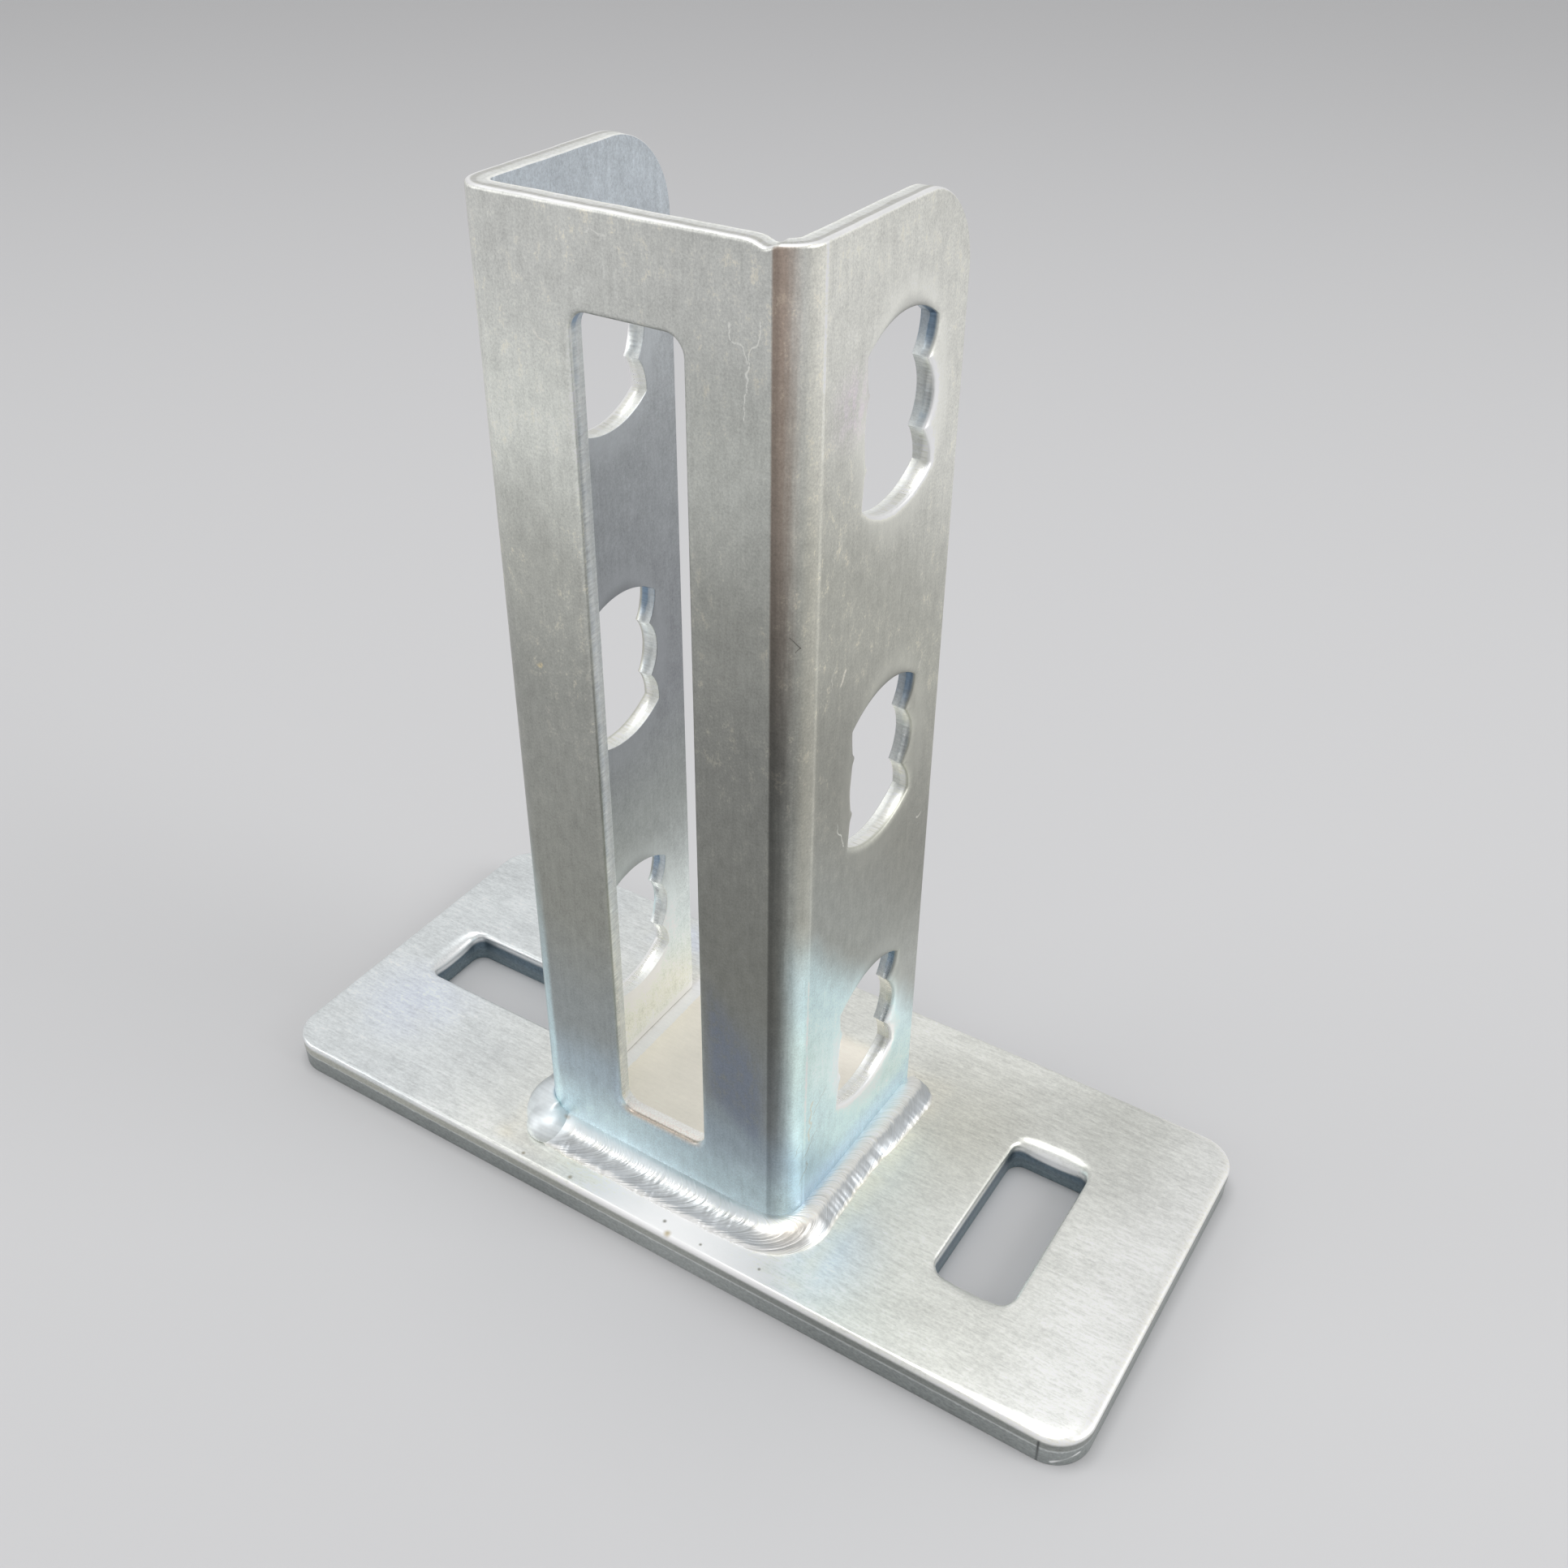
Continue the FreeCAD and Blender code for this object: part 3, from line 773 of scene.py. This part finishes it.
    # Painted light and shade: each flange slot is ringed lighter, and shaded over its upper rim.
    slot_halo_light = off_slot.smooth(1.5, 1.15)
    level = level * (1.0 + 0.12 * slot_halo_light - 0.3 * off_slot.smooth(1.2, 1.02) * above_slot.smooth(2, 9))
    contrast = 1.0 - 0.6 * slot_halo_light
    texture = 0.26 * (clouds - 0.5) + 0.52 * (mottle - 0.5) + 0.22 * (streaks - 0.5) + 0.8 * (specks - 0.5)
    level = level * (1.0 + contrast * texture)
    # Painted light and shade: the inner faces are painted light near the plate, darkest at mid height, and
    # lighter again towards the head.
    inner_face_shading = height.ramp([
        (8, shade(224, 223, 211)), (26, shade(204, 211, 210)), (50, shade(154, 158, 156)),
        (75, shade(140, 143, 147)), (125, shade(155, 159, 162)), (150, shade(174, 181, 187)),
    ])
    colour = (inner * 0.9).mix(colour, inner_face_shading)
    # Painted reflection: the dark stripe down the right bend is browner towards the head.
    colour = (dark_reflection_band * height.smooth(80, 135) * (1.0 - rolled) * 0.6).mix(colour, shade(150, 118, 96))
    slate = across.smooth(8.5, 11) * across.smooth(20, 17) * (height + 0.8 * across).smooth(34, 40)
    slate = slate * (height + 1.2 * across).smooth(66, 56) * mottle.smooth(0.3, 0.55)
    colour = (slate * 0.6).mix(colour, shade(112, 122, 142))
    outer = depth.smooth(1, 0)
    weld_blue = (height + 3 * (mottle - 0.5)).smooth(15.0, 10.0) * off_middle.smooth(22, 27) * outer
    colour = (weld_blue * 0.5).mix(colour, shade(158, 180, 200))
    # Painted highlight: a light cyan line down the left bend, towards the foot.
    left_bend_highlight = across.smooth(-19.6, -20.6) * across.smooth(-22.4, -21.4) * height.smooth(64, 24)
    colour = (left_bend_highlight * outer * 0.7).mix(colour, shade(206, 230, 236))
    lilac = flat.near((33, 136, 0), 7) * mottle.smooth(0.35, 0.6)
    colour = (lilac * 0.5).mix(colour, shade(196, 184, 196))
    beige = (mottle * 0.7 + specks * 0.3).smooth(0.53, 0.63) * height.smooth(60, 110)
    beige = beige * clouds.smooth(0.42, 0.56) * (1.0 - slot_halo_light) * (1.0 - inner)
    colour = (beige * 0.32).mix(colour, shade(214, 205, 182))
    colour = level.lighten(colour)
    broken = specks.smooth(0.3, 0.5) * 0.7
    sway = {"Vector": flat.times((0.45, 0.45, 0)), "Scale": 1.0, "Detail": 1.0}
    sway = flat.node("ShaderNodeTexNoise", {}, sway, 1)
    wavy_flat = sway.vector_math("MULTIPLY_ADD", sway, (2.4, 2.4, 0), flat)
    wavy_flat = wavy_flat.vector_math("SUBTRACT", wavy_flat, (1.2, 1.2, 0))
    for start, end, half_width, ink in channel_scratches:
        scratch = wavy_flat.on_line((*start, 0), (*end, 0), scratch_spread * half_width)
        colour = (scratch * broken).mix(colour, shade(*ink))
    # Painted light and shade: cut walls are painted near white where they face up and dark bluish where
    # they face down.
    wall = (faces_up + 0.5 * (mottle - 0.5)).smooth(-0.5, 0.3)
    wall = wall.mix(shade(112, 130, 148), shade(250, 250, 242))
    punch_lines = flat.noise((3.2, 3.2, 0.25), 3, 0.6)
    wall = (0.72 + 0.9 * (punch_lines - 0.2)).lighten(wall)
    on_head = faces_up.smooth(0.8, 1.0) * height.smooth(100, 140)
    wall = (1.0 - 0.4 * on_head * depth.smooth(0.4, 0.9) * depth.smooth(2.8, 2.3)).lighten(wall)
    slot_foot = height.smooth(17.2, 15.6) * off_middle.smooth(9.4, 8.8) * height.smooth(14.4, 15.2)
    wall = slot_foot.mix(wall, (0.7 + 0.7 * specks).lighten(shade(252, 240, 232)))
    colour = (rolled * slot_foot * 0.9).mix(colour, (0.3 + 1.4 * specks).lighten(shade(158, 144, 130)))
    colour = cut.mix(colour, wall)
    colour = (torn * 0.55).mix(colour, (0.5 + specks).lighten(shade(200, 202, 200)))
    inner_foot = inner * (height + 2.2 * (specks - 0.5)).smooth(8.0, 7.0)
    colour = inner_foot.mix(colour, shade(252, 250, 244))
    colour.feed(surface, "Base Color")
    heat = height.smooth(52, 30)
    roughness = 0.44 + 0.2 * (clouds - 0.5) + 0.2 * (specks - 0.5)
    (roughness - 0.06 * heat - 0.12 * cut + 0.2 * torn).feed(surface, "Roughness")
    less_metallic = heat * (1.0 - cut) * (0.2 + 0.5 * off_middle.smooth(25, 29) * height.smooth(14, 28))
    less_metallic = less_metallic.at_least(0.6 * slot_foot * cut + 0.6 * inner_foot)
    (0.92 - less_metallic - 0.3 * cut * faces_up.smooth(0, 0.5)).feed(surface, "Metallic")
    grain = streaks * 0.15 + specks * 0.7 + mottle * 0.5
    (grain + torn * mottle).relief(0.018).feed(surface, "Normal")
    return material


channel.data.materials.append(channel_finish())
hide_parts("channel")
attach(channel, "root")


# Front weld bead: one run of weld metal from under the left bead's blob, along the web, round the right
# bend and along the right flange, where it thins out. It froze in fine curved ripples.
blob_middle = np.array([-22.4, -24.3])
front_start_x = blob_middle[0]
front_end_y = 17.9
right_bend_x = channel_high[0] - bend_radius
web_run = right_bend_x - front_start_x


def web_at(x):
    return x - front_start_x


def flange_at(y):
    return web_run + bend_run + y - bend_y


def front_line(along):
    """The channel's foot under the bead, and the way out of it, at lengths along the bead."""
    turn = np.clip((along - web_run) / bend_radius, 0, math.pi / 2)
    out = np.stack([np.sin(turn), -np.cos(turn)], 1)
    straight = np.stack([np.minimum(along, web_run), np.clip(along - web_run - bend_run, 0, None)], 1)
    return np.array([front_start_x, bend_y]) + straight + out * bend_radius, out


# How high the bead climbs the channel, and how far it reaches over the plate, along its run.
front_rise = [
    (web_at(-22.4), 2.6), (web_at(-14), 2.3), (web_at(0), 2.0), (web_at(12), 1.8), (web_at(18), 2.4),
    (flange_at(-18), 3.1), (flange_at(-10), 2.5), (flange_at(2), 2.1), (flange_at(13.5), 1.8),
    (flange_at(15.6), 1.4), (flange_at(17.0), 0.8), (flange_at(front_end_y), 0.15),
]
front_reach = [
    (web_at(-22.4), 5.6), (web_at(-16), 5.9), (web_at(12), 6.0), (web_at(17.5), 5.6),
    (flange_at(-18), 4.9), (flange_at(-8), 4.5), (flange_at(-1), 4.7), (flange_at(4), 5.4),
    (flange_at(13.6), 5.7), (flange_at(15.4), 5.2), (flange_at(16.7), 3.9), (flange_at(17.5), 2.0),
    (flange_at(front_end_y), 0.5),
]
bead_step = 0.14
bead_columns = 40
seated = -0.05


def bead_body(line, rise, reach, length, bulge, lip, ripple):
    """A bead's closed mesh along a line: its places, its faces, and what the finish needs at each place.

    bulge is how much the face between its two toes swells out, lip how thick the toes are, and ripple
    gives the height of the frozen waves. The bead is seated a little into what carries it.
    """
    along = np.arange(0, length + bead_step, bead_step)
    foot_place, out = line(along)
    rise = np.interp(along, *zip(*rise))
    reach = np.interp(along, *zip(*reach))
    share = np.linspace(0, 1, bead_columns) ** 0.9
    a, t = np.meshgrid(along, share, indexing="ij")
    run = np.column_stack([along, along * 0])
    toe_wander = 0.16 * patchy(run, 2.2, 71) + 0.07 * patchy(run, 0.6, 72)
    reach = reach * (1 + toe_wander / np.maximum(reach, 1))
    round_off = 1 - np.abs(2 * t - 1) ** 14
    shape = 4 * t * (1 - t) * bulge
    outward = reach[:, None] * t + shape * rise[:, None] + lip * round_off * 0.7
    upward = rise[:, None] * (1 - t) + shape * reach[:, None] + lip * round_off * 0.7
    slope = np.arctan2(rise, reach)[:, None]
    swell = ripple(a, t) * round_off * np.clip(rise, 0, 1)[:, None]
    outward = outward + swell * np.sin(slope)
    upward = upward + swell * np.cos(slope)
    hidden = np.full(len(along), seated)
    outward = np.column_stack([outward, reach, hidden, hidden])
    upward = np.column_stack([upward, hidden, hidden, rise])
    places = np.stack([
        foot_place[:, :1] + out[:, :1] * outward,
        foot_place[:, 1:] + out[:, 1:] * outward,
        plate_high[2] + np.maximum(upward, seated),
    ], 2)
    rows, ring = outward.shape
    number = np.arange(rows * ring).reshape(rows, ring)
    after = np.roll(number, -1, 1)
    faces = np.stack([number[:-1], after[:-1], after[1:], number[1:]], 2).reshape(-1, 4)[:, ::-1].tolist()
    faces += [number[0].tolist(), number[-1][::-1].tolist()]
    share = np.column_stack([t, np.ones(len(along)), np.zeros((len(along), 2))])
    waves = swept_back(np.broadcast_to(along[:, None], share.shape), share)
    return places.reshape(-1, 3), faces, {"wave": waves.ravel(), "share": share.ravel()}


crest = 0.38
sweep_above_crest = 2.0
sweep_below_crest = 6.5


def swept_back(along, share):
    """Where along the bead the ripple through each place crosses the crest: the ripples bow forward
    there, and run back along the bead at both toes."""
    above = share < crest
    side = np.where(above, (crest - share) / crest, (share - crest) / (1 - crest))
    return along + np.where(above, sweep_above_crest, sweep_below_crest) * side ** 2


def frozen_ripples(along, share):
    """How high the broad waves stand at each place. The fine ones are in the finish."""
    wave = swept_back(along, share).ravel()
    across = share.ravel()
    broad = patchy(np.column_stack([wave / 1.8, across * 1.5]), 1.0, 82)
    return (0.035 * broad).reshape(along.shape)


front_length = web_run + bend_run + front_end_y - bend_y
front_places, front_faces, front_waves = bead_body(
    front_line, front_rise, front_reach, front_length, bulge=0.115, lip=0.2, ripple=frozen_ripples
)
front_bead = mesh_piece("front_bead", front_places, front_faces, crease_degrees=60)
for trait, values in front_waves.items():
    keep_trait(front_bead, trait, values)


def weld_finish():
    """Zinc over weld metal: a painted highlight along the crest and painted glints at the toes, with fine
    dark ripples between them.
    """
    material, surface, place = new_steel("weld_metal")
    wave, share = place.trait("wave"), place.trait("share")
    along_ripple = place.node("ShaderNodeCombineXYZ", {}, {0: wave, 1: share})
    fine = along_ripple.noise((2.0, 0.5, 0), 3, 0.55)
    finer = along_ripple.noise((4.2, 1.2, 0), 1, 0.4)
    patches = place.noise((0.45, 0.45, 0.45), 3)
    specks = place.noise((2.4, 2.4, 2.4), 3, 0.65)
    pool = place.near((-23.5, -23.5, 8.5), 8.5).smooth(0.05, 0.45)
    fine = 0.5 + (fine - 0.5) * (1.0 - 0.9 * pool)
    jagged = share + 0.34 * (fine - 0.5)
    # Painted highlight: a near-white stripe along the crest and near-white glints at the lower toe, with
    # grey flank between.
    colour = jagged.ramp([
        (0.0, shade(228, 231, 231)), (0.12, shade(246, 246, 243)), (0.36, shade(248, 246, 240)),
        (0.52, shade(168, 171, 172)), (0.84, shade(164, 168, 171)), (0.93, shade(252, 252, 249)),
    ])
    colour = (pool * 0.8).mix(colour, shade(214, 219, 221))
    bend_warmth = place.near((22.0, -22.0, 8.5), 7)
    colour = (bend_warmth * 0.35).mix(colour, shade(226, 206, 180))
    calm = wave.smooth(web_run + 6, web_run + 13) * share.smooth(0.42, 0.58) * share.smooth(0.98, 0.9)
    fine = 0.5 + (fine - 0.5) * (1.0 - 0.7 * calm)
    # Painted highlight: the crest is lightened, less and greyer along the right flange.
    crest_highlight = jagged.smooth(0.54, 0.42)
    right_run = wave.smooth(web_run + 3, web_run + 11)
    colour = (right_run * crest_highlight * 0.6).mix(colour, shade(204, 204, 200))
    crest_highlight = crest_highlight * (1.0 - 0.75 * right_run)
    level = 0.14 + 0.36 * crest_highlight + (1.1 - 0.55 * crest_highlight) * fine
    level = level + 0.2 * patches + 0.34 * finer + 0.1 * specks
    colour = level.lighten(colour)
    colour = (place.near((-19.6, -23.2, 9.0), 0.8) * 0.7).mix(colour, shade(150, 115, 75))
    colour.feed(surface, "Base Color")
    (0.33 + 0.14 * (patches - 0.5) + 0.16 * (specks - 0.5) + 0.2 * pool).feed(surface, "Roughness")
    # Less metallic, so lighter, on the painted crest highlight.
    less_metallic = jagged.smooth(0.46, 0.34) * jagged.smooth(0.06, 0.18) * (1.0 - pool) * (1.0 - 0.7 * right_run)
    (0.96 - 0.35 * less_metallic).feed(surface, "Metallic")
    (fine + 0.15 * finer).relief(0.095).feed(surface, "Normal")
    return material


weld_steel = weld_finish()
front_bead.data.materials.append(weld_steel)
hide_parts("front_weld_bead")
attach(front_bead, "root")


# Left weld bead: the same weld metal along the left flange and round the left bend, where the run
# stopped and the pool froze as one smooth round blob.
left_bend_x = channel_low[0] + bend_radius
left_start_y = channel_high[1] - 1.5
left_run = left_start_y - bend_y
left_turn = math.radians(76)
left_rise = [(0, 0.6), (3.9, 3.0), (left_run - 4, 3.2), (left_run + 2, 3.9), (left_run + 9, 4.0)]
left_reach = [(0, 0.8), (3.9, 3.9), (left_run - 4, 4.1), (left_run + 3, 5.0), (left_run + 9, 5.4)]
blob_radius = 4.1
blob_height = 3.5
melt_step = 0.13
flow_rounds = 60
smooth_share = 0.66


def left_line(along):
    turn = np.clip((along - left_run) / bend_radius, 0, left_turn)
    out = np.stack([-np.cos(turn), -np.sin(turn)], 1)
    down = np.clip(left_run - along, 0, None)
    return np.stack([np.full(len(along), left_bend_x), bend_y + down], 1) + out * bend_radius, out


def blob_body(rings=26, spokes=64):
    """A closed dome of weld metal, steep at its foot and nearly flat on top."""
    turn = np.linspace(0, 2 * math.pi, spokes, endpoint=False)
    rise = np.linspace(0, math.pi / 2, rings)[:-1]
    radius = blob_radius * np.cos(rise) ** 0.85
    height = plate_high[2] + blob_height * np.sin(rise) ** 0.95
    places = np.stack([
        blob_middle[0] + radius[:, None] * np.cos(turn),
        blob_middle[1] + radius[:, None] * np.sin(turn),
        np.broadcast_to(height[:, None], (rings - 1, spokes)),
    ], 2).reshape(-1, 3)
    number = np.arange(len(places)).reshape(rings - 1, spokes)
    after = np.roll(number, -1, 1)
    faces = np.stack([number[:-1], after[:-1], after[1:], number[1:]], 2).reshape(-1, 4).tolist()
    return places, faces + [number[0][::-1].tolist(), number[-1].tolist()]


def faint_ripples(along, share):
    wave = np.column_stack([along.ravel() / 1.1, share.ravel()])
    return 0.05 * patchy(wave, 1.0, 91).reshape(along.shape)


left_length = left_run + left_turn * bend_radius
left_places, left_faces, _ = bead_body(
    left_line, left_rise, left_reach, left_length, bulge=0.12, lip=0.25, ripple=faint_ripples
)
left_faces = [face[::-1] for face in left_faces]
blob_places, blob_faces = blob_body()
blob_faces = [[number + len(left_places) for number in face] for face in blob_faces]
left_places = np.concatenate([left_places, blob_places])
left_bead = mesh_piece("left_bead", left_places, left_faces + blob_faces, crease_degrees=180)
left_bead.modifiers.clear()
melt = left_bead.modifiers.new("melt together", "REMESH")
melt.mode = "VOXEL"
melt.voxel_size = melt_step * MM
flow = left_bead.modifiers.new("flow", "SMOOTH")
flow.iterations = flow_rounds
made = left_bead.evaluated_get(bpy.context.evaluated_depsgraph_get())
melted = bpy.data.meshes.new_from_object(made)
left_bead.modifiers.clear()
left_bead.data = melted
melted.name = "left_bead"
melted.shade_smooth()
melted_places = np.array([vertex.co for vertex in melted.vertices]) / MM
keep_trait(left_bead, "wave", 0.35 * melted_places[:, 1] + 0.3 * melted_places[:, 2])
keep_trait(left_bead, "share", np.full(len(melted_places), smooth_share))
left_bead.data.materials.clear()
left_bead.data.materials.append(weld_steel)
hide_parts("left_weld_bead")
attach(left_bead, "root")


# Floor and light: a plain pale floor under one broad soft light from above, with a weaker one on the
# left, one on the right, and pale walls all round for the zinc to mirror. Sizes here are in metres.
floor_half_size = 3.0
floor_corners = [(-1, -1), (1, -1), (1, 1), (-1, 1)]
floor_corners = [(floor_half_size * x, floor_half_size * y, 0) for x, y in floor_corners]
floor_mesh = bpy.data.meshes.new("floor")
floor_mesh.from_pydata(floor_corners, [], [(0, 1, 2, 3)])
floor = bpy.data.objects.new("floor", floor_mesh)
bpy.context.scene.collection.objects.link(floor)
floor_paint = bpy.data.materials.new("floor_paint")
floor_paint.use_nodes = True
floor_surface = floor_paint.node_tree.nodes["Principled BSDF"]
floor_surface.inputs["Base Color"].default_value = (0.6, 0.6, 0.61, 1)
floor_surface.inputs["Roughness"].default_value = 0.8
floor_mesh.materials.append(floor_paint)


lit_spot = (0, 0, 0.05)


def soft_light(name, place, size, power):
    light = bpy.data.lights.new(name, "AREA")
    light.shape = "DISK"
    light.size = size
    light.energy = power
    lamp = bpy.data.objects.new(name, light)
    bpy.context.scene.collection.objects.link(lamp)
    lamp.location = place
    towards = Vector(lit_spot) - Vector(place)
    lamp.rotation_euler = towards.to_track_quat("-Z", "Y").to_euler()


soft_light("light_above", (-0.1, 0.0, 1.0), size=0.5, power=3.2)
soft_light("light_left", (-0.9, -0.6, 0.5), size=0.6, power=1.6)
soft_light("light_right", (0.9, 0.2, 0.6), size=0.6, power=3.2)

world = bpy.data.worlds.new("room")
bpy.context.scene.world = world
world.use_nodes = True
walls = world.node_tree.nodes["Background"]
walls.inputs["Color"].default_value = (1, 1, 1, 1)
walls.inputs["Strength"].default_value = 0.6
